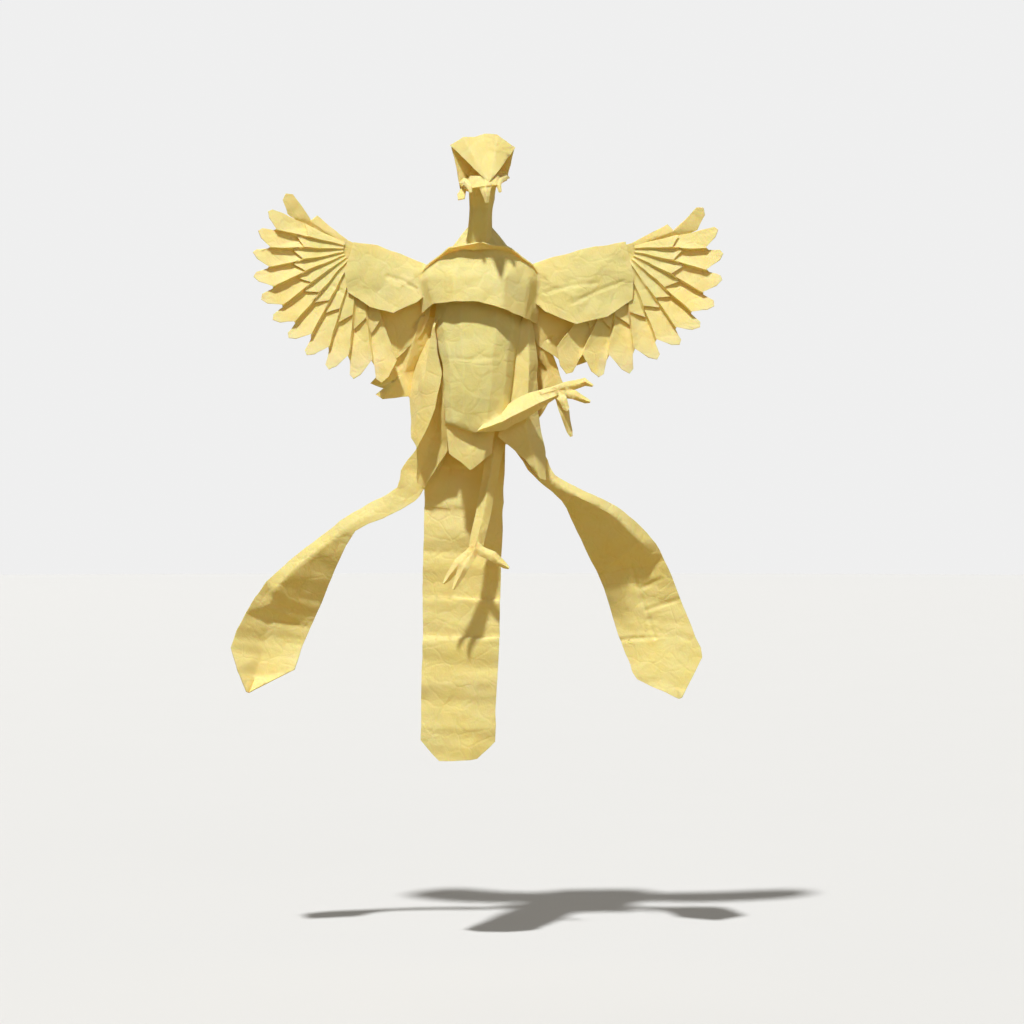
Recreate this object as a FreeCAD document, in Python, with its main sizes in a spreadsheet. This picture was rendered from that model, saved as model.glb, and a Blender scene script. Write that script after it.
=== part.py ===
import FreeCAD, Part
import math
import os

# A long-tailed bird folded from one sheet of paper, standing upright with
# its wings spread and looking along -Y. X runs to the right, Z up, all sizes
# in millimetres. The origin is in the open lower end of the body, just in
# front of its back plate.

SIZES = {
    # folded paper: several layers pressed together
    "ply": 0.5,
    # shoulders, breast, belly and apron, one tucked under the other
    "shoulder_half": 25.0,
    "rim_z": 77.2,
    "rim_drop": 13.0,
    "rim_front": 19.0,
    "side_front": 4.0,
    "back_depth": 4.0,
    "breast_half": 24.6,
    "breast_front": 14.5,
    "breast_low_front": 20.5,
    "breast_low_z": 52.5,
    "belly_half": 17.2,
    "belly_low_half": 11.6,
    "belly_front": 13.0,
    "belly_fold_z": 30.5,
    "belly_low_z": 2.8,
    "apron_half": 9.4,
    "apron_front": 12.0,
    "apron_low_z": -12.3,
    "back_low_z": -2.0,
    # neck, head and crest
    "neck_half": 4.9,
    "neck_base_z": 83.0,
    "neck_top_z": 97.0,
    "neck_front": 11.5,
    "neck_lean": 24.0,
    "head_x": 1.2,
    "crest_half": 12.7,
    "crest_height": 19.4,
    "crest_root_z": 99.8,
    "beak_length": 9.0,
    # wings
    "left_feather_count": 11,
    "left_top_angle": 25.0,
    "left_low_angle": -97.0,
    "left_wrist_x": -47.5,
    "left_arm_drop": 26.0,
    "right_feather_count": 10,
    "right_top_angle": 14.0,
    "right_low_angle": -110.0,
    "right_wrist_x": 55.4,
    "right_arm_drop": 30.0,
    "wrist_z": 75.7,
    "wrist_front": 2.0,
    "breast_overlap": 5.0,
    "reach_top": 40.0,
    "reach_crown": 43.5,
    "reach_mid": 45.5,
    "reach_low": 54.0,
    "notch_share": 0.86,
    "covert_share": 0.62,
    "palm_radius": 6.5,
    "arm_over_palm": 6.0,
    "pleat_depth": 1.1,
    "tip_front": 5.0,
    # tail ribbons
    "tail_half": 15.0,
    "tail_x": -8.9,
    "tail_slant": 3.2,
    "tail_top_z": 8.0,
    "tail_low_z": -129.0,
    "tail_corner": 8.0,
    "tail_wave": 0.5,
    "tail_wave_length": 15.0,
    "tail_depth": 5.0,
    "ribbon_fold": 0.6,
    "ribbon_sweep": 22.0,
    "left_ribbon_reach": 78.2,
    "right_ribbon_reach": 66.1,
    "ribbon_low_z": -105.4,
    "hip_half": 24.5,
    # legs and feet
    "shank_half": 2.9,
    "shank_fold": 1.8,
    "toe_half": 1.9,
    "raised_front": 21.0,
    "hanging_front": 8.0,
}

V = FreeCAD.Vector
doc = FreeCAD.newDocument("FoldedBird")
sheet = doc.addObject("Spreadsheet::Sheet", "Sizes")
for row, (name, value) in enumerate(SIZES.items(), start=1):
    sheet.set("A%d" % row, name)
    sheet.set("B%d" % row, str(value))
    sheet.setAlias("B%d" % row, name)
doc.recompute()


def size(name):
    return float(sheet.get(name))


# Paper: a folded surface given as points and triangles gets its thickness

def corner_normals(points, triangles):
    """The direction and length that moves each point half a ply off the sheet."""
    flat = [(points[b] - points[a]).cross(points[c] - points[a]) for a, b, c in triangles]
    sums = [V(0, 0, 0) for point in points]
    for (a, b, c), normal in zip(triangles, flat):
        unit = V(normal).normalize()
        for here, one, two in ((a, b, c), (b, c, a), (c, a, b)):
            angle = (points[one] - points[here]).getAngle(points[two] - points[here])
            sums[here] += unit * angle
    offsets = [V(s).normalize() for s in sums]
    least = [1.0] * len(points)
    for triangle, normal in zip(triangles, flat):
        unit = V(normal).normalize()
        for k in triangle:
            least[k] = min(least[k], offsets[k].dot(unit))
    half = size("ply") / 2
    return [o * (half / max(0.6, c)) for o, c in zip(offsets, least)]


def paper(points, triangles):
    """A closed solid one ply thick around a folded surface."""
    offsets = corner_normals(points, triangles)
    count = len(points)
    skin = [p + o for p, o in zip(points, offsets)] + [p - o for p, o in zip(points, offsets)]
    faces = list(triangles) + [(c + count, b + count, a + count) for a, b, c in triangles]
    edges = {(t[k], t[(k + 1) % 3]) for t in triangles for k in range(3)}
    for a, b in edges:
        if (b, a) not in edges:
            faces += [(b, a, a + count), (b, a + count, b + count)]
    shell = Part.Shape()
    shell.makeShapeFromMesh((skin, faces), 0.0001)
    return Part.Solid(shell)


def grid(rows, ring=False):
    """Paper through rows of points; a ring joins the last column to the first."""
    across = len(rows[0])
    points = [p for row in rows for p in row]
    triangles = []
    for i in range(len(rows) - 1):
        for j in range(across if ring else across - 1):
            k = (j + 1) % across
            a, b = i * across + j, i * across + k
            c, d = a + across, b + across
            if (points[a] - points[d]).Length < (points[b] - points[c]).Length:
                triangles += [(a, c, d), (a, d, b)]
            else:
                triangles += [(a, c, b), (b, c, d)]
    return paper(points, triangles)


def flap(centre, outline):
    """Paper with creases that run from one inner point to the outline's corners."""
    count = len(outline)
    triangles = [(count, k, (k + 1) % count) for k in range(count)]
    return paper(list(outline) + [centre], triangles)


def strip(stations, fold):
    """A long folded strip. Each station is a point of its ridge and a half width."""
    rows = []
    for k, (point, half) in enumerate(stations):
        before = stations[max(0, k - 1)][0]
        after = stations[min(len(stations) - 1, k + 1)][0]
        side = (after - before).cross(V(0, 1, 0)).normalize()
        back = V(0, fold * min(1.0, half), 0)
        rows.append([point - side * half + back, point, point + side * half + back])
    return grid(rows)


def blend(t, knots):
    """The value at t on straight runs between (place, value) knots."""
    for (t0, v0), (t1, v1) in zip(knots, knots[1:]):
        if t <= t1:
            return v0 + (v1 - v0) * (t - t0) / (t1 - t0)
    return knots[-1][1]


def add(label, solids):
    """One fold group of the sheet as an object of the document."""
    shape = solids[0] if len(solids) == 1 else solids[0].multiFuse(solids[1:])
    group = doc.addObject("Part::Feature", label)
    group.Shape = shape
    return group


# Body: plates that hang down in front, closed by a plate at the back

def front_plate(stations, tuck, low_edge=(0, 0, 0, 0, 0, 0, 0)):
    """A plate with two folded edges. Each station gives z, x left and right, y mid and y side."""
    rows = []
    for k, (z, left, right, mid, side) in enumerate(stations):
        middle, half = (left + right) / 2, (right - left) / 2
        last = k == len(stations) - 1
        row = [V(left + 1, tuck, z)]
        for s, dip in zip((-1.0, -0.8, -0.4, 0.0, 0.4, 0.8, 1.0), low_edge):
            height = z + (dip if last else -0.03 * half * s * s)
            row.append(V(middle + half * s, mid + (side - mid) * abs(s) ** 3.6, height))
        row.append(V(right - 1, tuck, z))
        rows.append(row)
    return grid(rows)


def cape():
    """The shoulders: a ring that spreads from the neck to the overhanging rim."""
    neck, half = size("neck_half"), size("shoulder_half")
    rim_z, drop, front = size("rim_z"), size("rim_drop"), size("rim_front")
    side, back, base = size("side_front"), size("back_depth"), size("neck_base_z")
    root = size("neck_front")
    inner, middle, outer = [], [], []
    for s in (-1.0, -0.8, -0.47, 0.0, 0.47, 0.8, 1.0):
        y = -front + (front - side) * abs(s) ** 2.4
        rim = V(half * s, y, rim_z - drop * abs(s) ** 2.6)
        top = V(neck * s * 0.95, -root - neck * 0.7 * (1 - abs(s)), rim_z + 0.4 + (base - rim_z) * abs(s))
        inner.append(top)
        middle.append(top + (rim - top) * 0.55 + V(0, 0, -2.6))
        outer.append(rim)
    for s in (0.8, 0.0, -0.8):
        rim = V(half * s, back + 1.5, rim_z - 4 - drop * 0.4 * s * s)
        top = V(neck * s, neck * 0.8 - root, base + 1)
        inner.append(top)
        middle.append(top + (rim - top) * 0.5 + V(0, 0, -1))
        outer.append(rim)
    return grid([inner, middle, outer], ring=True)


def breast():
    half, low = size("breast_half"), size("breast_low_z")
    front, low_front, side = size("breast_front"), size("breast_low_front"), size("side_front")
    top = size("rim_z") - 1.5
    tuck = size("back_depth") + 1.5
    return front_plate([
        (top, -half * 0.5, half * 0.5, -front, -front + 2),
        (top - 6, -half * 0.86, half * 0.86, -front - 1.5, -side - 3),
        ((top + low) / 2, -half - 0.6, half, (-front - low_front) / 2 - 1, -side),
        (low, -half + 1.6, half - 2.4, -low_front, -side - 1),
    ], tuck, low_edge=(-2.6, 0.4, 1.0, 1.0, -1.4, -4.4, -6.4))


def belly():
    half, low_half = size("belly_half"), size("belly_low_half")
    fold, low, front = size("belly_fold_z"), size("belly_low_z"), size("belly_front")
    top = size("breast_low_z") + 6
    tuck = size("back_depth") + 1.5
    return front_plate([
        (top, -half, half, -front, -size("side_front")),
        (top - 14, -half - 0.5, half - 0.5, -front - 2.6, -size("side_front") - 2),
        (fold, (-half - low_half) / 2, (half + low_half) / 2 - 1.5, -front - 5, -front + 2),
        ((fold + low) / 2 + 1, -low_half - 2, low_half, -front - 5.4, -front + 1),
        (low + 4, -low_half - 1.6, low_half - 1, -front - 4, -front),
        (low, -low_half * 0.2, low_half * 0.2, -front - 3.6, -front - 3.2),
    ], tuck)


def apron():
    half, front = size("apron_half"), size("apron_front")
    low, top = size("apron_low_z"), size("belly_low_z") + 9
    x = -3.4
    return grid([
        [V(x - half, -front + 1, top), V(x, -front, top), V(x + half, -front + 1, top)],
        [V(x - half, -front, top - 9), V(x, -front - 1, top - 9), V(x + half, -front, top - 9)],
        [V(x - half + 1, -front, low + 7), V(x, -front - 1.4, low + 6), V(x + half - 1, -front, low + 7)],
        [V(x - 1.2, -front - 1, low + 0.6), V(x - 0.4, -front - 1.2, low), V(x + 0.6, -front - 1, low + 0.6)],
    ])


def back_plate():
    """Closes the body behind, a little hollow at the middle."""
    half, hip = size("shoulder_half") - 3, size("belly_half") + 2
    back, low, top = size("back_depth"), size("back_low_z"), size("rim_z") - 1
    rows = []
    for z, w in ((top, half * 0.6), (top - 9, half), (size("breast_low_z"), half),
                 (size("belly_fold_z"), hip), (low, hip)):
        rows.append([V(w * s, back + 1.2 * (abs(s) - 1) ** 2, z) for s in (-1, -0.5, 0, 0.5, 1)])
    return grid(rows)


# Neck, head and crest

def neck():
    half, lean, front = size("neck_half"), size("neck_lean"), size("neck_front")
    base, top = size("rim_z") - 2.5, size("neck_top_z") + 2
    rows = []
    for t in (0.0, 0.3, 0.65, 1.0):
        ring = []
        w = half * (1.06 - 0.16 * math.sin(math.pi * t))
        middle = V(size("head_x") * t, -front + (front - lean) * t + 2.0 * math.sin(math.pi * t),
                   base + (top - base) * t)
        for degrees, share in ((-90, 0.72), (-55, 1.0), (-15, 1.0), (40, 1.0), (90, 0.9),
                               (140, 1.0), (195, 1.0), (235, 1.0)):
            turn = math.radians(degrees)
            ring.append(middle + V(w * share * math.cos(turn), w * share * 0.85 * math.sin(turn), 0))
        rows.append(ring)
    return grid(rows, ring=True)


def crest():
    """Two lobes that fold forward over the head, and the side panels behind them."""
    x, y, z = size("head_x"), -size("neck_lean"), size("crest_root_z")
    half, height = size("crest_half"), size("crest_height")
    apex = V(x + 2.6, y - 5.2, z - 0.6)
    left, right = V(x - half, y + 2.5, z + height * 0.76), V(x + half, y + 2.5, z + height * 0.73)
    top = V(x + 0.5, y + 4, z + height)
    left_top = V(x - half * 0.6, y + 1.5, z + height * 0.92)
    right_top = V(x + half * 0.45, y + 1.5, z + height * 0.97)
    dip = V(x - half * 0.25, y + 3, z + height * 0.93)
    lobes = paper(
        [apex, left, left_top, dip, top, right_top, right],
        [(0, 2, 1), (0, 3, 2), (0, 4, 3), (0, 5, 4), (0, 6, 5)],
    )
    low_left, low_right = V(x - 8.6, y + 4, z - 1.8), V(x + 9.2, y + 4, z + 1.6)
    nape = V(x, y + 3, z - 5)
    crown = V(x, y + 8, z + height * 0.82)
    shell = paper(
        [left + V(0.6, 0.4, -0.6), low_left, nape, crown, low_right, right + V(-0.6, 0.4, -0.6)],
        [(0, 1, 3), (1, 2, 3), (2, 4, 3), (4, 5, 3)],
    )
    return [lobes, shell]


def face():
    """Forehead, beak, the two cheek curls and the ear flap."""
    x, y, z = size("head_x"), -size("neck_lean"), size("crest_root_z")
    long = size("beak_length")
    brow = z - 2.2
    forehead = paper(
        [V(x - 4.6, y - 1.5, z + 2.6), V(x + 0.6, y - 3.6, z + 1.8), V(x + 5.6, y - 2.0, z + 2.8),
         V(x - 4.8, y - 4.4, brow - 0.8), V(x + 1.6, y - 7.4, brow - 0.2), V(x + 5.2, y - 5, brow + 0.4),
         V(x - 8.4, y + 4.6, z - 1.6), V(x + 9, y + 4.6, z + 1.4)],
        [(0, 3, 1), (3, 4, 1), (4, 5, 1), (5, 2, 1), (0, 6, 3), (2, 5, 7)],
    )
    tip = V(x + 1.9, y - 10, brow - long * 0.8)
    beak = strip([(V(x + 1.1, y - 5.6, brow + 1.4), 2.9), (V(x + 1.3, y - 8.4, brow - 1.6), 1.9),
                  (V(x + 1.8, y - 9.8, brow - 4.6), 1.0), (tip, 0.4)], 1.4)
    curls = [
        strip([(V(x - 8.2, y + 2.5, z + 1.5), 1.3), (V(x - 6.5, y - 2.6, z + 0.1), 1.2),
               (V(x - 4.7, y - 5.4, z - 2.4), 0.9), (V(x - 4.2, y - 6.4, z - 4.9), 0.4)], 0.8),
        strip([(V(x + 9.4, y + 2.5, z + 3.2), 1.3), (V(x + 6.6, y - 2.6, z + 0.9), 1.2),
               (V(x + 6.0, y - 5.0, z - 1.8), 0.9), (V(x + 6.8, y - 6.0, z - 4.5), 0.4)], 0.8),
    ]
    ear = flap(V(x - 8.0, y + 0.4, z - 5.2), [V(x - 9.6, y + 1, z - 4.4), V(x - 9.4, y - 0.2, z - 6.6),
               V(x - 6.8, y - 0.6, z - 6.2), V(x - 6.4, y + 1, z - 3.0), V(x - 7.4, y + 3.6, z - 0.6)])
    return [forehead, beak, ear] + curls


# Wings: a fan of pleats about the wrist, a shorter fan in front, and the arm plates

def feather_reach(place):
    """How far a feather reaches from the wrist, place 0 at the top of the fan and 1 at its end."""
    knots = ((0.0, size("reach_top")), (0.25, size("reach_crown")), (0.62, size("reach_mid")),
             (1.0, size("reach_low")))
    return blend(min(1.0, max(0.0, place)), knots)


def fan_point(side, degrees, radius, lift):
    """A point of the fan about the wrist. The fan bends forward towards its tips."""
    turn = math.radians(degrees)
    front = size("tip_front") * (radius / size("reach_low")) ** 2
    return V(side * radius * math.cos(turn), lift - front, radius * math.sin(turn))


def feathers(side, count, top, low):
    """The long feathers: each slopes forward from its upper edge and laps over the next one."""
    depth, inner, notch = size("pleat_depth"), size("palm_radius"), size("notch_share")
    step = (top - low) / (count - 1)
    points, triangles = [], []
    for k in range(count):
        reach = feather_reach(k / (count - 1))
        wave = 1.0 + 0.25 * math.sin(2.4 * k)
        for turn, radius, lift in (
            (0.0, inner, 0.15), (0.0, reach * 0.55, wave), (0.0, reach * notch, wave),
            (0.04, reach * 0.97, 0.7), (0.20, reach, 0.4), (0.48, reach * 0.965, -0.3),
            (0.55, inner, -0.15), (0.82, reach * 0.55, -wave), (0.93, reach * notch, -wave * 0.9),
        ):
            points.append(fan_point(side, top - step * (k + turn), radius, lift * depth))
        r0, r1, r2, heel, tip, corner, v0, v1, v2 = range(9 * k, 9 * k + 9)
        triangles += [(r0, r1, v1), (r0, v1, v0), (r1, r2, v2), (r1, v2, v1)]
        triangles += [(r2, heel, tip), (r2, tip, corner), (r2, corner, v2)]
        if k < count - 1:
            n0, n1, n2 = r0 + 9, r1 + 9, r2 + 9
            triangles += [(v0, v1, n1), (v0, n1, n0), (v1, v2, n2), (v1, n2, n1)]
    return paper(points, triangles)


def coverts(side, count, top, low):
    """The shorter layer in front of the feathers, stepped along its edge, with the same pleats."""
    depth, inner, share = size("pleat_depth"), size("palm_radius"), size("covert_share")
    forward = size("ply") * 2
    step = (top - low) / (count - 1)
    points, triangles = [], []
    for k in range(count):
        reach = feather_reach(k / (count - 1)) * share
        for turn, radius, lift in ((0.0, inner, 0.15), (0.0, reach, 0.8), (0.55, inner, -0.15),
                                   (0.8, reach * 0.86, -1.0)):
            points.append(fan_point(side, top - step * (k + turn), radius, lift * depth - forward))
        r0, r1, v0, v1 = range(4 * k, 4 * k + 4)
        triangles += [(r0, r1, v1), (r0, v1, v0)]
        if k < count - 1:
            triangles += [(v0, v1, r1 + 4), (v0, r1 + 4, r0 + 4)]
    return paper(points, triangles)


def palm(side, top, low):
    """The gathered root of the fan, under the end of the arm plate."""
    steps = 6
    outer = size("palm_radius") * 1.35
    arc = [fan_point(side, top + 10 + (low - top - 14) * k / steps, outer, -0.2) for k in range(steps + 1)]
    wrist = V(-side * 2.5, -1.4, 0.6)
    points = arc + [wrist]
    return paper(points, [(k, k + 1, steps + 1) for k in range(steps)])


def top_feathers(side, top):
    """A short and a long feather behind the top of the fan, the long one standing up."""
    corners = ((5.5, 14.0, -0.6), (22.3, 13.5, 1.2), (23.4, 5.0, 1.6), (35.4, 14.6, 1.6), (37.8, 12.4, 1.8),
               (37.2, 8.0, 1.8), (32.6, 1.0, 1.6), (20.0, -3.0, 1.6), (7.0, -3.0, -0.6))
    outline = [fan_point(side, top + turn, radius, lift) for radius, turn, lift in corners]
    return flap(fan_point(side, top + 4.5, 23.0, 0.6), outline)


def wing(side, wrist_x, count, top, low, arm_drop):
    """One whole wing about its own wrist, with the arm plates that reach into the body."""
    shoulder = size("shoulder_half")
    rim = abs(wrist_x) - shoulder
    reach = rim + size("breast_overlap")
    shoulder_z = size("rim_z") - size("wrist_z")
    root_y = size("wrist_front") - size("side_front")
    edge = -size("arm_over_palm")

    def at(x, y, z):
        return V(-side * x, y, z)

    arm = flap(at(rim * 0.62, -6.0, arm_drop * 0.66), [
        at(edge * 0.45, -1.8, 3.2), at(rim * 0.3, -2.2, 1.8), at(rim * 0.86, -2.4, shoulder_z - 4.5),
        at(reach, root_y - 1.5, shoulder_z - 8), at(reach, root_y - 2.5, arm_drop * 0.66),
        at(rim * 0.98, -5.8, arm_drop * 0.83), at(rim * 0.58, -7.4, arm_drop),
        at(rim * 0.16, -5.8, arm_drop * 0.9), at(edge * 0.85, -3.2, arm_drop * 0.66),
        at(edge, -2.8, arm_drop * 0.35),
    ])
    lining = flap(at(rim * 0.5, 0.8, arm_drop * 0.95), [
        at(0.5, -1.6, -1.0), at(rim * 0.5, -0.6, -1.6), at(rim * 0.9, 0.2, shoulder_z - 7.5),
        at(reach, root_y + 1, shoulder_z - 12), at(reach, root_y + 1.6, arm_drop - 1.5),
        at(rim * 1.07, 0.6, arm_drop - 8), at(rim * 0.64, 1.0, arm_drop - 17),
        at(rim * 0.26, 0.6, arm_drop - 13), at(rim * 0.04, -0.4, arm_drop - 3),
        at(edge * 0.7, -1.8, arm_drop * 0.5), at(edge * 0.5, -1.6, -5),
    ])
    return [feathers(side, count, top, low), coverts(side, count, top, low), palm(side, top, low),
            top_feathers(side, top), arm, lining]


# Tail: three ribbons, the middle one hanging straight, the outer two curving out

def centre_tail():
    half, depth, corner = size("tail_half"), size("tail_depth"), size("tail_corner")
    top, low = size("tail_top_z"), size("tail_low_z")
    wave, pitch = size("tail_wave"), size("tail_wave_length")
    runs = max(6, int(round((top - low - corner) / pitch * 2)))
    rows = []
    for k in range(runs + 1):
        t = k / runs
        z = top + (low + corner - top) * t + (0.22 * pitch * math.sin(2.7 * k) if 0 < k < runs else 0)
        y = depth + wave * (1 if k % 2 else -1) * (0.4 + 0.6 * abs(math.sin(1.9 * k))) + 3.0 * (t - 1) ** 2
        if k == 0:
            y = size("back_depth") - 3.5
        x = size("tail_x") + size("tail_slant") * (1 - t)
        tilt, wide = 0.9 * math.sin(3.1 * k + 1), half * (1 + 0.08 * (1 - t))
        rows.append([V(x - wide, y + 1.0, z - tilt), V(x - wide * 0.3, y, z - tilt * 0.2),
                     V(x + wide * 0.4, y - 0.4, z + tilt), V(x + wide, y + 0.8, z + tilt)])
    x = size("tail_x")
    rows.append([V(x - half * 0.5, depth + 0.6, low), V(x - half * 0.2, depth, low),
                 V(x + half * 0.3, depth - 0.4, low + 0.3), V(x + half * 0.5, depth + 0.4, low + 0.8)])
    return grid(rows)


# Outer edge, crease and inner edge of each outer ribbon, from the body to the tip. Each point
# gives how far out it is from the hip, how far back, and how far down, as shares of the whole.
LEFT_RIBBON = (
    ((-0.141, -0.14, -0.085), (-0.153, -0.14, -0.047), (-0.166, -0.14, -0.009)),
    ((0.012, 0.05, 0.028), (-0.051, 0.07, 0.066), (-0.102, 0.05, 0.114)),
    ((0.097, 0.05, 0.114), (0.045, 0.00, 0.147), (-0.020, 0.02, 0.190)),
    ((0.115, 0.09, 0.180), (0.070, 0.02, 0.213), (0.026, 0.02, 0.233)),
    ((0.271, 0.28, 0.246), (0.249, 0.12, 0.280), (0.184, 0.10, 0.298)),
    ((0.418, 0.42, 0.309), (0.393, 0.27, 0.342), (0.337, 0.24, 0.347)),
    ((0.558, 0.52, 0.392), (0.529, 0.38, 0.419), (0.428, 0.52, 0.469)),
    ((0.801, 0.68, 0.543), (0.758, 0.58, 0.571), (0.509, 0.84, 0.601)),
    ((0.919, 0.86, 0.664), (0.805, 0.96, 0.690), (0.579, 1.00, 0.720)),
    ((0.999, 0.90, 0.803), (0.844, 1.04, 0.832), (0.631, 0.98, 0.811)),
    ((0.959, 0.84, 0.893), (0.872, 0.98, 0.919), (0.664, 0.90, 0.887)),
    ((0.913, 0.80, 0.974), (0.901, 0.84, 0.978), (0.885, 0.82, 0.972)),
)

RIGHT_RIBBON = (
    ((-0.166, -0.14, -0.085), (-0.182, -0.14, -0.047), (-0.197, -0.14, -0.009)),
    ((0.023, 0.05, 0.057), (-0.023, 0.05, 0.090), (-0.076, 0.05, 0.114)),
    ((0.083, 0.09, 0.131), (0.061, 0.02, 0.152), (-0.015, 0.11, 0.152)),
    ((0.275, 0.16, 0.196), (0.252, 0.04, 0.222), (0.132, 0.22, 0.227)),
    ((0.467, 0.34, 0.258), (0.437, 0.20, 0.289), (0.185, 0.44, 0.293)),
    ((0.652, 0.60, 0.354), (0.610, 0.48, 0.387), (0.315, 0.88, 0.462)),
    ((0.752, 0.80, 0.442), (0.703, 0.82, 0.479), (0.391, 1.00, 0.568)),
    ((0.870, 0.90, 0.616), (0.673, 0.94, 0.655), (0.498, 0.98, 0.771)),
    ((0.961, 0.86, 0.761), (0.741, 0.88, 0.781), (0.559, 0.94, 0.864)),
    ((1.002, 0.82, 0.837), (0.794, 0.80, 0.867), (0.598, 0.86, 0.921)),
    ((0.910, 0.74, 0.949), (0.846, 0.72, 0.958), (0.748, 0.76, 0.966)),
    ((0.873, 0.70, 0.993), (0.855, 0.70, 0.999), (0.837, 0.72, 0.994)),
)


def rounded(lines, kept):
    """The lines with one more between each pair, on a curve through them. The last ones are kept."""
    made = lines[:2]
    for before, first, second, after in zip(lines, lines[1:], lines[2:-kept], lines[3:]):
        made.append([((a + b) * 9 - p - q) * 0.0625 for p, a, b, q in zip(before, first, second, after)])
        made.append(second)
    return made + lines[-kept:]


def side_tail(side, reach, rows):
    """An outer ribbon that curves away from the hip and back, then hangs down."""
    hip, depth, sweep, low = size("hip_half"), size("tail_depth"), size("ribbon_sweep"), size("ribbon_low_z")
    fold = size("ribbon_fold")
    points = []
    for row in rows:
        line = [V(side * (hip + reach * out), depth + sweep * back, low * down) for out, back, down in row]
        line[1] += V(0, fold, 0)
        points.append(line)
    return grid(rounded(points, 2))


# Flaps beside the belly, under the wings

def side_flaps():
    half, fold = size("belly_half"), size("belly_fold_z")
    hip, back, low = size("hip_half"), size("back_depth"), size("breast_low_z")
    side = size("side_front")
    left_outer = flap(V(-22, -side - 4, 22), [
        V(-half + 3, -1, low + 3), V(-half - 1.2, -side - 5.5, low - 8),
        V(-half + 2.4, -side - 6.5, fold - 5),
        V(-half - 0.6, -side - 6, 12), V(-half - 4, -side - 5, 3.6), V(-hip - 0.4, -side - 3, -3.6),
        V(-hip - 2.6, -side - 1, 0.4), V(-hip - 3.2, back - 2, 18), V(-hip + 0.2, back - 2, fold + 4),
    ])
    left_wedge = flap(V(-30, back - 3.5, 27), [
        V(-half + 3, 0, low - 4), V(-half - 3, back + 1, fold), V(-hip + 1, back, 12),
        V(-hip - 3.8, back - 3, 17.2), V(-hip - 14, back - 4, 15.8), V(-hip - 16.6, back - 3.6, 17.8),
        V(-hip - 12.4, back - 3.6, 20), V(-hip - 19, back - 2, 22.4), V(-hip - 9.4, back - 3, fold + 3.4),
        V(-hip - 7.6, back - 2.5, fold + 5.4), V(-hip + 0.6, -side + 1, low - 3.5),
    ])
    left_thigh = flap(V(-17.4, -side + 1.5, 2), [
        V(-half + 2.6, -side - 5, fold - 6), V(-half + 4.4, -side - 4, 8), V(-half + 4.4, -side, -4),
        V(-hip + 2.4, back - 2, -19), V(-hip - 0.6, back - 2, -17), V(-hip - 0.8, -side, -3),
        V(-half - 2, -side + 0.5, 10),
    ])
    right_outer = flap(V(18.6, -side - 8.5, 6), [
        V(half + 2.6, -side - 2, low + 1), V(half - 4, -side - 4, fold + 10), V(half - 5.4, -side - 7, 14),
        V(half - 9.8, -side - 7.5, 1.2), V(half + 1, -side - 6.5, -8), V(hip - 0.6, -side - 6, -15.4),
        V(hip + 2.1, -side - 4, -16), V(hip + 1.4, -side - 2.5, -5), V(hip - 1.4, -side - 1.5, 11),
        V(hip - 2, -side - 0.5, fold),
    ])
    right_wedge = flap(V(27, back - 3, 27), [
        V(half - 3, 0, low - 6), V(half + 2, back + 1, low - 16), V(hip - 4, back + 1, 12),
        V(hip - 1.0, back - 3, 9), V(hip + 9, back - 2.6, 23), V(hip + 4, back - 2.4, fold + 4.4),
        V(hip - 2, -side + 1, low - 5),
    ])
    right_hip = flap(V(17, back - 4, -4), [
        V(half - 8, -side - 2.4, 3), V(half - 4, -side - 2, 14), V(hip - 2, -side + 2, 8),
        V(hip + 1.2, back - 3, -8), V(hip + 1, back - 2, -14), V(hip - 1.4, -side - 2, -15.4),
        V(half + 1, -side - 2, -9.4),
    ])
    return [left_outer, left_wedge, left_thigh, right_outer, right_wedge, right_hip]


# Legs: folded strips with a ridge, each toe a narrow strip of its own

def foot(ankle, tips):
    """Toes from one ankle; each tip is a point, and the claw bends forward at its end."""
    half, fold = size("toe_half"), size("shank_fold") * 0.5
    toes = []
    for tip, share in tips:
        away = tip - ankle
        heel = ankle - away * 0.12
        knuckle = ankle + away * 0.5 + V(0, -1.0, 0.8)
        toes.append(strip([(heel, half * 0.9), (ankle + away * 0.2, half), (knuckle, half * share),
                           (ankle + away * 0.88, half * 0.55), (tip, 0.35)], fold))
    return toes


def raised_leg():
    foot_y = -size("raised_front")
    ankle = V(31.2, foot_y + 1, 18.6)
    belly_y = -size("belly_front")
    thigh = paper(
        [V(-0.8, foot_y + 1.5, 2.8), V(9, foot_y + 0.5, 6.8), V(20, foot_y, 12.6), ankle + V(0, -0.8, -1.2),
         V(8, belly_y + 1.5, 12.2), V(19.3, foot_y + 4.5, 18.1), ankle + V(-0.8, 1.6, 1.9),
         V(10, foot_y + 3.4, 3.6), V(21, foot_y + 2.6, 10.2), ankle + V(-0.4, 1.6, -2.0)],
        [(0, 1, 4), (1, 5, 4), (1, 2, 5), (2, 6, 5), (2, 3, 6), (0, 7, 1), (7, 8, 1), (8, 2, 1), (8, 9, 2),
         (9, 3, 2)],
    )
    toes = foot(ankle, [
        (V(43.4, foot_y - 1, 14.0), 1.0), (V(34.4, foot_y - 2.4, 10.6), 0.8), (V(35.8, foot_y + 2, 0.6), 1.0),
    ])
    top_toe = strip([(V(24, foot_y + 2, 17.4), 1.2), (V(34, foot_y + 0.6, 20.2), 1.8),
                     (V(41.8, foot_y - 0.6, 22.0), 1.4), (V(44.6, foot_y - 1.6, 20.4), 0.4)], 0.9)
    return [thigh, top_toe] + toes


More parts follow.
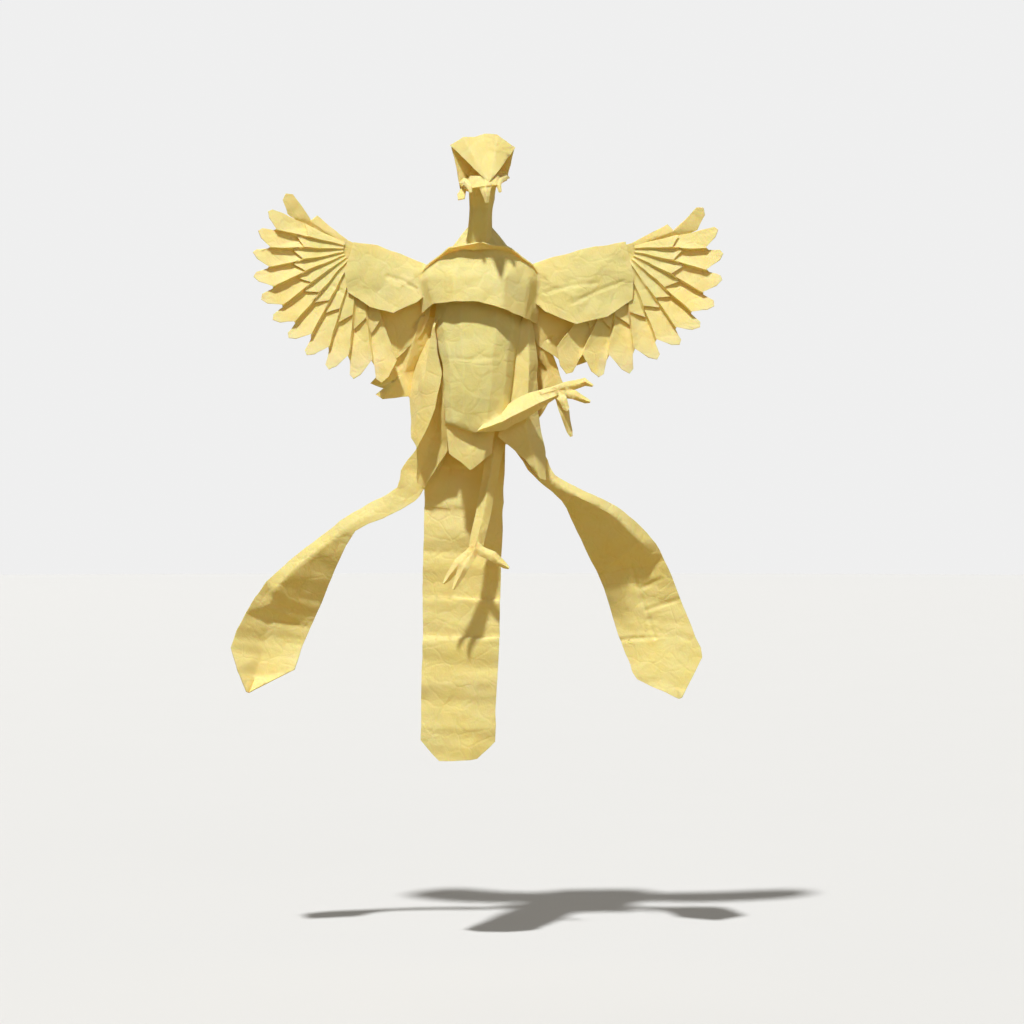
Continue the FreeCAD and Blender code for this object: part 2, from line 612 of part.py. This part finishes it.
def hanging_leg():
    half, fold = size("shank_half"), size("shank_fold")
    hip_y, foot_y = -size("side_front"), -size("hanging_front")
    ankle = V(-1.8, foot_y, -42.6)
    shank = strip([(V(7.8, hip_y - 1, 4), half + 0.6), (V(5.6, hip_y - 1.4, -8), half + 0.4),
                   (V(2.9, hip_y - 1.8, -20), half), (V(0.5, foot_y + 1, -32), half),
                   (ankle, half * 0.95)], fold)
    toes = foot(ankle, [
        (V(-14.3, foot_y - 3, -57.2), 1.1), (V(-10.4, foot_y - 4, -59.6), 1.0),
        (V(11.6, foot_y - 2.4, -51), 1.0),
    ])
    return [shank] + toes


BODY = [cape(), breast(), belly(), apron(), back_plate()]
groups = [
    add("body", BODY + [neck()]),
    add("head", crest() + face()),
    add("side_flaps", side_flaps()),
    add("tail", [centre_tail(), side_tail(-1, size("left_ribbon_reach"), LEFT_RIBBON),
                 side_tail(1, size("right_ribbon_reach"), RIGHT_RIBBON)]),
    add("raised_leg", raised_leg()),
    add("hanging_leg", hanging_leg()),
]
for label, side in (("left", -1), ("right", 1)):
    group = add(label + "_wing", wing(side, size(label + "_wrist_x"), int(size(label + "_feather_count")),
                size(label + "_top_angle"), size(label + "_low_angle"), -size(label + "_arm_drop")))
    group.setExpression("Placement.Base.x", "Sizes." + label + "_wrist_x")
    group.setExpression("Placement.Base.y", "-Sizes.wrist_front")
    group.setExpression("Placement.Base.z", "Sizes.wrist_z")
    groups.append(group)

bird = doc.addObject("Part::MultiFuse", "folded_bird")
bird.Label = "folded_bird"
bird.Shapes = groups
doc.recompute()

for item in doc.Objects:
    if "Invalid" in item.State or "Error" in item.State:
        raise RuntimeError(item.Label + " did not build")
for item in groups + [bird]:
    if item.Shape.isNull() or not item.Shape.isValid():
        raise RuntimeError(item.Label + " is not a sound shape")
print("solids", len(bird.Shape.Solids), "faces", len(bird.Shape.Faces), "volume", round(bird.Shape.Volume, 1))

os.makedirs("parts", exist_ok=True)
bird.Shape.exportStep("parts/folded_bird.step")
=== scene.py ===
import math

import bmesh
import bpy
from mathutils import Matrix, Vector, noise


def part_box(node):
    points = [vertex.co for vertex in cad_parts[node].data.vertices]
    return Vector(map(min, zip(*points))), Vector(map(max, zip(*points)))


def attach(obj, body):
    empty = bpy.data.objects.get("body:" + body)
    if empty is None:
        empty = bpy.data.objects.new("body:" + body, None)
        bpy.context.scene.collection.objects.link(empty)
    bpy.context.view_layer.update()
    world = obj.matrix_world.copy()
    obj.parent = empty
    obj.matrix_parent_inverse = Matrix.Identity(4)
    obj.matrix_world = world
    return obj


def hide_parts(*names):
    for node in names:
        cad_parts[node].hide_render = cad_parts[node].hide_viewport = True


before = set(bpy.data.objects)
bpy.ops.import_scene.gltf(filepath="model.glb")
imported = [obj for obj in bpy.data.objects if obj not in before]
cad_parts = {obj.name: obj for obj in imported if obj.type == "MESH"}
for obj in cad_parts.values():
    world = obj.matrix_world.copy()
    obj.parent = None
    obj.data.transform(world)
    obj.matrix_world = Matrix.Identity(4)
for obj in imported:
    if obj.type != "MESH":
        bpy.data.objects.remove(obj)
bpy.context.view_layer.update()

MM = 0.001

# Camera: the view of the photograph, level and straight on
CAMERA_LENS, CAMERA_SENSOR = 85, 36
CAMERA_PLACE = (0.0128, -0.967, -0.0288)

# Paper mesh, in mm: longest edge on the plain sheet and beside a pressed crease
EDGE_LENGTH, FINE_EDGE = 2.4, 0.9
WELD_DISTANCE = 0.004
DIVIDING_ROUNDS = 7

# Crumpling of the whole sheet, in mm: length of a wave and how far it moves the paper
SOFT_WAVE, SOFT_DEPTH = 26.0, 0.60
SOFT_SEEDS = (0.6, 5.1, 11.3)
CREASE_WAVE, CREASE_DEPTH = 9.0, 0.36
CREASE_SEEDS = (1.7, 4.2, 8.9)

# Ripples across the ribbons, in mm. They slant, wander and change little from side to side.
RIPPLE_WAVE, RIPPLE_DEPTH, RIPPLE_SEED = 7.5, 0.42, 2.6
RIPPLE_SLANT, RIPPLE_ACROSS = 0.10, 0.02
WANDER_WAVE, WANDER_REACH = 40, 3.0
RIBBON_CALM = 0.35

# Folds, in radians: where a fold starts to show a painted highlight on ridges or painted shade in grooves,
# where it shows in full, and the angle above which its edge stays sharp
FAINT_FOLD, FULL_FOLD = 0.12, 0.6
FOLD_ANGLE = math.radians(24)

# Pressed creases across single plates, as (x, z) points in mm seen from the front, and their depth
CREASES = (
    (((61.5, -51.0), (66.5, -66.0), (71.5, -80.0)), 0.50),
    (((57.5, -81.0), (71.5, -80.0)), 0.40),
    (((66.0, -60.0), (74.0, -56.5)), 0.35),
    (((68.0, -69.0), (83.0, -64.5)), 0.35),
    (((-36.5, 64.5), (-30.6, 62.8), (-25.4, 59.5)), 0.42),
    (((-58.0, 60.8), (-54.6, 58.0)), 0.40),
    (((-12.5, 31.8), (-2.0, 31.2), (7.0, 31.8)), 0.20),
    (((-2.5, 18.2), (6.5, 17.2)), 0.18),
    (((25.9, 58.4), (36.0, 61.0), (46.6, 62.1)), 0.32),
    (((36.2, 54.1), (47.6, 59.3), (57.0, 63.0)), 0.42),
    (((-8.6, 3.6), (-3.5, -2.5)), 0.30),
)
CREASE_HALF_WIDTH = 1.3
CREASE_MARGIN = 2 * CREASE_HALF_WIDTH

# Wings: wrist places and reach of the feathers, in mm, for the thin tips, which get a painted glow of light
# through the single sheet
WRISTS = ((-47.5, 75.7), (55.4, 75.7))
TIP_START, TIP_END = 36.0, 48.0
WING_LOW_Z, WING_INNER = 24.0, 8.0

# Tails, in mm: height where the ribbons begin, and how far below it the ripples are in full
RIBBON_TOP_Z, RIPPLES_GROW = -14.0, 18.0

# Colours are linear
PAPER = (0.920, 0.712, 0.262, 1)
# Paler paper: the paper's own cloudy tone, and also a painted highlight on fold ridges
PAPER_PALE_AND_RIDGE_HIGHLIGHT = (0.935, 0.760, 0.350, 1)
# Darker paper: the paper's own fibre flecks, and also painted shade in fold grooves
PAPER_DEEP_AND_GROOVE_SHADE = (0.800, 0.545, 0.140, 1)
# Paler feather ends: a painted glow of light through the thin single sheet
PAPER_TIP_GLOW = (0.890, 0.750, 0.420, 1)
FLOOR = (0.70, 0.70, 0.69, 1)
FLOOR_DULL = (0.66, 0.66, 0.65, 1)
FLOOR_BOUNCE = (0.28, 0.20, 0.06, 1)
WORLD_TINT = (1.0, 0.90, 0.72, 1)
WHITE = (1, 1, 1, 1)
FLOOR_Z, FLOOR_RADIUS = -0.205, 6.0

# Light: strength and spread in degrees of the lamps, and strength of the world as light and as seen
KEY_POWER, FILL_POWER, BACK_POWER = 3.50, 0.36, 0.50
KEY_ANGLE, FILL_ANGLE = 3, 50
KEY_DIRECTION = (0.20, 0.56, -1.0)
FRONT_DIRECTION = (-0.35, 0.9, -0.3)
BACK_DIRECTION = (0.3, -1.0, -0.5)
WORLD_LIGHT, WORLD_SEEN = 0.12, 0.865


def smoothstep(low, high, value):
    t = min(1.0, max(0.0, (value - low) / (high - low)))
    return t * t * (3 - 2 * t)


def ridged(point, wave, seed):
    """Noise with sharp crests, about -0.5 to 0.5, like creases in handled paper."""
    return 0.5 - 2.0 * abs(noise.noise(point / wave + Vector((seed, 7.3 * seed, -3.1 * seed))))


def crumple(point):
    """How far a point of the sheet moves, in mm. Its place alone sets it, so both sides move together."""
    soft = Vector([noise.noise(point / SOFT_WAVE + Vector((seed,) * 3)) for seed in SOFT_SEEDS]) * SOFT_DEPTH
    creases = Vector([ridged(point, CREASE_WAVE, seed) for seed in CREASE_SEEDS]) * CREASE_DEPTH
    ribbon = smoothstep(RIBBON_TOP_Z, RIBBON_TOP_Z - RIPPLES_GROW, point.z)
    slant = RIPPLE_SLANT * point.x + WANDER_REACH * noise.noise(point / WANDER_WAVE)
    ripple = ridged(Vector((RIPPLE_ACROSS * point.x, 0.0, point.z + slant)), RIPPLE_WAVE, RIPPLE_SEED)
    back = ripple * RIPPLE_DEPTH * ribbon + pressed(point)
    return soft + creases * (1.0 - RIBBON_CALM * ribbon) + Vector((0, back, 0))


def widened_box(run):
    """Left, right, low and high of a run of points, with a margin."""
    across, up = zip(*run)
    return (min(across) - CREASE_MARGIN, max(across) + CREASE_MARGIN,
            min(up) - CREASE_MARGIN, max(up) + CREASE_MARGIN)


CREASE_BOXES = [widened_box(run) for run, depth in CREASES]


def distance_to_run(x, z, run):
    """How far a point is from a run of points, seen from the front."""
    nearest = math.inf
    for (x0, z0), (x1, z1) in zip(run, run[1:]):
        dx, dz = x1 - x0, z1 - z0
        along = min(1.0, max(0.0, ((x - x0) * dx + (z - z0) * dz) / (dx * dx + dz * dz)))
        nearest = min(nearest, math.hypot(x - x0 - along * dx, z - z0 - along * dz))
    return nearest


def near_creases(x, z):
    """The pressed creases that run close to a point."""
    return [crease for crease, (left, right, low, high) in zip(CREASES, CREASE_BOXES)
            if left < x < right and low < z < high]


def pressed(point):
    """How deep the pressed creases are at a point, in mm."""
    return sum(depth * max(0.0, 1.0 - distance_to_run(point.x, point.z, run) / CREASE_HALF_WIDTH)
               for run, depth in near_creases(point.x, point.z))


def too_long(edge):
    """Edges beside a pressed crease are cut shorter than the rest."""
    length = edge.calc_length() / MM
    if length < FINE_EDGE or length > EDGE_LENGTH:
        return length > EDGE_LENGTH
    middle = (edge.verts[0].co + edge.verts[1].co) / 2 / MM
    return any(distance_to_run(middle.x, middle.z, run) < CREASE_MARGIN
               for run, depth in near_creases(middle.x, middle.z))


def divided_mesh(node):
    """A copy of a node's mesh with shared corners and short edges."""
    mesh = bmesh.new()
    mesh.from_mesh(node.data)
    bmesh.ops.remove_doubles(mesh, verts=mesh.verts, dist=WELD_DISTANCE * MM)
    for step in range(DIVIDING_ROUNDS):
        long_edges = [e for e in mesh.edges if too_long(e)]
        if not long_edges:
            break
        bmesh.ops.subdivide_edges(mesh, edges=long_edges, cuts=1)
        bmesh.ops.triangulate(mesh, faces=[f for f in mesh.faces if len(f.verts) > 3])
    return mesh


def fold_strength(edge):
    """1 on sharp folded ridges, less on soft ones, negative in grooves; this sets the painted highlight on
    ridges and the painted shade in grooves.
    """
    if len(edge.link_faces) != 2:
        return 0.0
    angle = edge.calc_face_angle_signed(0.0)
    return smoothstep(FAINT_FOLD, FULL_FOLD, abs(angle)) * (1 if angle > 0 else -1)


def tip_glow_share(point):
    """0 over most of the sheet, 1 at the ends of the long wing feathers, where a painted glow stands in for
    light through the thin paper.
    """
    if point.z < WING_LOW_Z:
        return 0.0
    reach = 0.0
    for x, z in WRISTS:
        if abs(point.x) > abs(x) - WING_INNER and point.x * x > 0:
            reach = max(reach, math.hypot(point.x - x, point.z - z))
    return smoothstep(TIP_START, TIP_END, reach)


def folded_sheet(node):
    """The folded paper as one piece, crumpled, with its fold ridges, grooves and feather ends marked for the
    material: ridges for a painted highlight, grooves for painted shade, feather ends for a painted glow of
    light through the thin paper.
    """
    mesh = divided_mesh(node)
    painted_light_marks = mesh.verts.layers.float_color.new("painted_light_marks")
    low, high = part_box(node.name)
    for v in mesh.verts:
        # Ridges are marked for a painted highlight, grooves for painted shade, and feather ends for a
        # painted glow of light through the thin paper
        marks = [fold_strength(e) for e in v.link_edges]
        ridge_highlight = max(0.0, max(marks))
        groove_shade = max(0.0, -min(marks))
        v[painted_light_marks] = (ridge_highlight, groove_shade, tip_glow_share(v.co / MM), 1)
    for v in mesh.verts:
        moved = v.co + crumple(v.co / MM) * MM
        v.co = [min(high[k], max(low[k], moved[k])) for k in range(3)]
    data = bpy.data.meshes.new("folded_paper")
    mesh.to_mesh(data)
    mesh.free()
    data.shade_smooth()
    data.set_sharp_from_angle(angle=FOLD_ANGLE)
    piece = bpy.data.objects.new("folded_paper", data)
    bpy.context.scene.collection.objects.link(piece)
    return piece


def new_material(name):
    material = bpy.data.materials.new(name)
    material.use_nodes = True
    return material, material.node_tree.nodes, material.node_tree.links


def node(nodes, kind, **inputs):
    made = nodes.new(kind)
    for name, value in inputs.items():
        made.inputs[name.replace("_", " ")].default_value = value
    return made


def blend_colour(nodes, links, factor, first, second):
    """A colour mix; first and second are sockets or plain colours."""
    mix = nodes.new("ShaderNodeMix")
    mix.data_type = "RGBA"
    links.new(factor, mix.inputs["Factor"])
    for name, value in (("A", first), ("B", second)):
        socket = next(s for s in mix.inputs if s.name == name and s.type == "RGBA")
        if isinstance(value, tuple):
            socket.default_value = value
        else:
            links.new(value, socket)
    return next(s for s in mix.outputs if s.type == "RGBA")


def ramp(nodes, links, source, low, high):
    """Source mapped so that low gives 0 and high gives 1."""
    made = node(nodes, "ShaderNodeMapRange", From_Min=low, From_Max=high)
    links.new(source, made.inputs["Value"])
    return made.outputs["Result"]


def bump(nodes, links, height, strength, distance, before=None):
    made = node(nodes, "ShaderNodeBump", Strength=strength, Distance=distance)
    links.new(height, made.inputs["Height"])
    if before is not None:
        links.new(before, made.inputs["Normal"])
    return made.outputs["Normal"]


def paper_material():
    """Thin paper: cloudy pale yellow, fibres, fine wrinkles, paler ridges as a painted highlight, darker
    grooves as painted shade, paler feather ends as a painted glow, and light through thin parts.
    """
    material, nodes, links = new_material("folded_paper")
    shader = nodes["Principled BSDF"]
    place = nodes.new("ShaderNodeTexCoord").outputs["Object"]

    clouds = node(nodes, "ShaderNodeTexNoise", Scale=55.0, Detail=4.0, Roughness=0.6)
    flecks = node(nodes, "ShaderNodeTexNoise", Scale=1400.0, Detail=3.0, Roughness=0.7)
    fibres = node(nodes, "ShaderNodeTexNoise", Scale=2600.0, Detail=4.0, Roughness=0.65, Distortion=1.6)
    wrinkles = node(nodes, "ShaderNodeTexNoise", Scale=170.0, Detail=5.0, Roughness=0.62, Distortion=0.6)
    facets = node(nodes, "ShaderNodeTexVoronoi", Scale=120.0, Randomness=1.0)
    facets.feature = "DISTANCE_TO_EDGE"
    warp = node(nodes, "ShaderNodeTexNoise", Scale=70.0, Detail=2.0)
    for texture in (clouds, flecks, fibres, wrinkles, warp):
        links.new(place, texture.inputs["Vector"])
    shifted = node(nodes, "ShaderNodeMix")
    shifted.data_type = "VECTOR"
    shifted.inputs["Factor"].default_value = 0.012
    vectors = [s for s in shifted.inputs if s.type == "VECTOR" and s.name in "AB"]
    links.new(place, vectors[0])
    links.new(warp.outputs["Color"], vectors[1])
    links.new(next(s for s in shifted.outputs if s.type == "VECTOR"), facets.inputs["Vector"])

    marks = nodes.new("ShaderNodeVertexColor")
    marks.layer_name = "painted_light_marks"
    split = nodes.new("ShaderNodeSeparateColor")
    links.new(marks.outputs["Color"], split.inputs["Color"])
    ridge_highlight, groove_shade, tip_glow = (split.outputs[k] for k in range(3))

    # Cloudy tone and fibre flecks are the paper's own colour; paler ridges are a painted highlight, darker
    # grooves painted shade, and paler feather ends a painted glow of light through the thin sheet
    colour = PAPER
    for source, low, high, second in (
        (clouds.outputs["Fac"], 0.35, 0.70, PAPER_PALE_AND_RIDGE_HIGHLIGHT),
        (flecks.outputs["Fac"], 0.60, 1.60, PAPER_DEEP_AND_GROOVE_SHADE),
        (ridge_highlight, 0.0, 2.6, PAPER_PALE_AND_RIDGE_HIGHLIGHT),
        (groove_shade, 0.0, 6.0, PAPER_DEEP_AND_GROOVE_SHADE),
        (tip_glow, 0.0, 1.3, PAPER_TIP_GLOW),
    ):
        colour = blend_colour(nodes, links, ramp(nodes, links, source, low, high), colour, second)
    links.new(colour, shader.inputs["Base Color"])

    creases = ramp(nodes, links, facets.outputs["Distance"], 0.0, 0.10)
    normal = bump(nodes, links, creases, 0.20, 0.0004)
    normal = bump(nodes, links, wrinkles.outputs["Fac"], 0.45, 0.0009, normal)
    normal = bump(nodes, links, fibres.outputs["Fac"], 0.22, 0.00012, normal)
    links.new(normal, shader.inputs["Normal"])
    links.new(ramp(nodes, links, fibres.outputs["Fac"], -0.9, 1.25), shader.inputs["Roughness"])

    shader.inputs["Specular IOR Level"].default_value = 0.30
    shader.inputs["Subsurface Weight"].default_value = 0.60
    shader.inputs["Subsurface Radius"].default_value = (1.0, 0.58, 0.16)
    shader.inputs["Subsurface Scale"].default_value = 0.0018
    return material


def seen_by_camera(nodes, links):
    """1 where the camera looks, also by reflection or through glass, and 0 for light on the object."""
    path = nodes.new("ShaderNodeLightPath")
    seen = path.outputs["Is Camera Ray"]
    for name in ("Is Glossy Ray", "Is Transmission Ray"):
        either = nodes.new("ShaderNodeMath")
        either.operation = "MAXIMUM"
        links.new(seen, either.inputs[0])
        links.new(path.outputs[name], either.inputs[1])
        seen = either.outputs[0]
    return seen


def make_floor():
    """A pale floor that lights the object less than it looks, so that its shade stays deep."""
    data = bpy.data.meshes.new("floor")
    mesh = bmesh.new()
    bmesh.ops.create_circle(mesh, cap_ends=True, segments=96, radius=FLOOR_RADIUS)
    mesh.to_mesh(data)
    mesh.free()
    floor = bpy.data.objects.new("floor", data)
    floor.location = (0, 0, FLOOR_Z)
    bpy.context.scene.collection.objects.link(floor)
    material, nodes, links = new_material("floor")
    grain = node(nodes, "ShaderNodeTexNoise", Scale=9.0, Detail=3.0)
    links.new(nodes.new("ShaderNodeTexCoord").outputs["Object"], grain.inputs["Vector"])
    shade = ramp(nodes, links, grain.outputs["Fac"], 0.2, 5.0)
    grained = blend_colour(nodes, links, shade, FLOOR, FLOOR_DULL)
    colour = blend_colour(nodes, links, seen_by_camera(nodes, links), FLOOR_BOUNCE, grained)
    links.new(colour, nodes["Principled BSDF"].inputs["Base Color"])
    nodes["Principled BSDF"].inputs["Roughness"].default_value = 0.9
    data.materials.append(material)


def make_camera():
    camera = bpy.data.objects.new("camera", bpy.data.cameras.new("camera"))
    camera.data.lens = CAMERA_LENS
    camera.data.sensor_width = CAMERA_SENSOR
    camera.location = CAMERA_PLACE
    camera.rotation_euler = (math.radians(90), 0, 0)
    bpy.context.scene.collection.objects.link(camera)
    bpy.context.scene.camera = camera


def sun_light(name, direction, power, angle):
    light = bpy.data.objects.new(name, bpy.data.lights.new(name, "SUN"))
    light.data.energy = power
    light.data.angle = math.radians(angle)
    light.rotation_euler = Vector(direction).to_track_quat("-Z", "Y").to_euler()
    bpy.context.scene.collection.objects.link(light)


def make_lights():
    sun_light("key", KEY_DIRECTION, KEY_POWER, KEY_ANGLE)
    sun_light("front_fill", FRONT_DIRECTION, FILL_POWER, FILL_ANGLE)
    sun_light("back_fill", BACK_DIRECTION, BACK_POWER, FILL_ANGLE)
    world = bpy.data.worlds.new("studio")
    world.use_nodes = True
    nodes, links = world.node_tree.nodes, world.node_tree.links
    back = nodes["Background"]
    seen = seen_by_camera(nodes, links)
    links.new(blend_colour(nodes, links, seen, WORLD_TINT, WHITE), back.inputs["Color"])
    strength = node(nodes, "ShaderNodeMapRange", To_Min=WORLD_LIGHT, To_Max=WORLD_SEEN)
    links.new(seen, strength.inputs["Value"])
    links.new(strength.outputs["Result"], back.inputs["Strength"])
    bpy.context.scene.world = world


make_camera()
make_lights()
make_floor()

bird = folded_sheet(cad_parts["folded_bird"])
bird.data.materials.append(paper_material())
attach(bird, "root")
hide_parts("folded_bird")

bpy.context.scene.view_settings.view_transform = "Standard"
